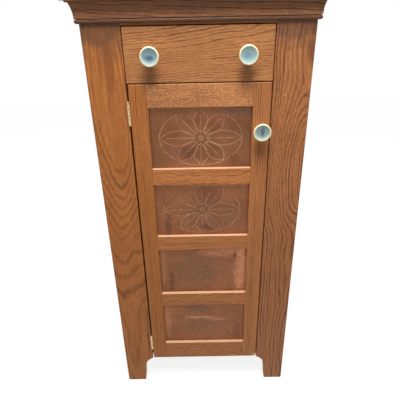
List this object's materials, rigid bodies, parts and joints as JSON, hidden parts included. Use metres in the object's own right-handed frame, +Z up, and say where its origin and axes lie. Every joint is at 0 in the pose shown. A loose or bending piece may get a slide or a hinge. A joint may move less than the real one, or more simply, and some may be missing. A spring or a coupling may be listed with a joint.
{
  "type": "bakers cabinet",
  "caption": "Narrow oak bakers cabinet with a crown moulding, a drawer over a hinged door of four punched copper panels, and bracket feet.",
  "frame": {"origin": "on the floor, at the centre of the box that holds the closed cabinet", "axes": "+Z up, the front faces -Y, +X to the right seen from the front"},
  "size_m": [0.505, 0.333, 1.036],
  "materials": {
    "oak": "satin oiled",
    "oak_dark": "satin oiled",
    "oak_pale": "bare",
    "copper": "aged copper with a brown patina",
    "stoneware": "crackle glaze",
    "brass": "satin",
    "steel": "zinc plated",
    "plastic": "matte"
  },
  "bodies": {
    "case": {"side_panel_left": "oak", "side_panel_right": "oak", "front_stile_left": "oak", "front_stile_right": "oak", "top_rail": "oak", "bottom_board": "oak", "shelf_lower": "oak", "shelf_upper": "oak", "back_panel": "oak_pale", "back_screws": "steel", "top_board": "oak", "top_cleat_front": "oak_pale", "top_cleat_rear": "oak_pale", "top_screws": "steel", "crown_front": "oak_dark", "crown_left": "oak_dark", "crown_right": "oak_dark", "divider_front_rail": "oak_pale", "divider_rear_rail": "oak_pale", "drawer_runner_left": "oak_pale", "drawer_runner_right": "oak_pale", "drawer_guide_left": "oak_pale", "drawer_guide_right": "oak_pale", "drawer_kicker_left": "oak_pale", "drawer_kicker_right": "oak_pale", "upper_hinge_frame_leaf": "brass", "lower_hinge_frame_leaf": "brass", "hinge_pins": "brass", "hinge_frame_screws": "brass", "catch_body": "plastic"},
    "door": {"door_stile_hinge": "oak", "door_stile_latch": "oak", "door_top_rail": "oak", "door_bottom_rail": "oak", "door_mid_rail_1": "oak", "door_mid_rail_2": "oak", "door_mid_rail_3": "oak", "copper_panel_1": "copper", "copper_panel_2": "copper", "copper_panel_3": "copper", "copper_panel_4": "copper", "panel_beads_1": "oak", "panel_beads_2": "oak", "panel_beads_3": "oak", "panel_beads_4": "oak", "door_knob": "stoneware", "door_knob_screw": "steel", "upper_hinge_door_leaf": "brass", "lower_hinge_door_leaf": "brass", "hinge_door_screws": "brass", "catch_strike": "steel"},
    "drawer": {"drawer_front": "oak", "drawer_side_left": "oak_pale", "drawer_side_right": "oak_pale", "drawer_back": "oak_pale", "drawer_bottom": "oak_pale", "drawer_knob_left": "stoneware", "drawer_knob_right": "stoneware", "drawer_knob_screws": "steel"}
  },
  "joints": [
    {"name": "door_swing", "type": "hinge", "parent": "case", "child": "door", "pos_m": [-0.14875, -0.1415, 0.4765], "axis": [0, 0, -1], "range_deg": [0, 170]},
    {"name": "drawer_slide", "type": "slide", "parent": "case", "child": "drawer", "axis": [0, -1, 0], "range_m": [0, 0.22]}
  ]
}
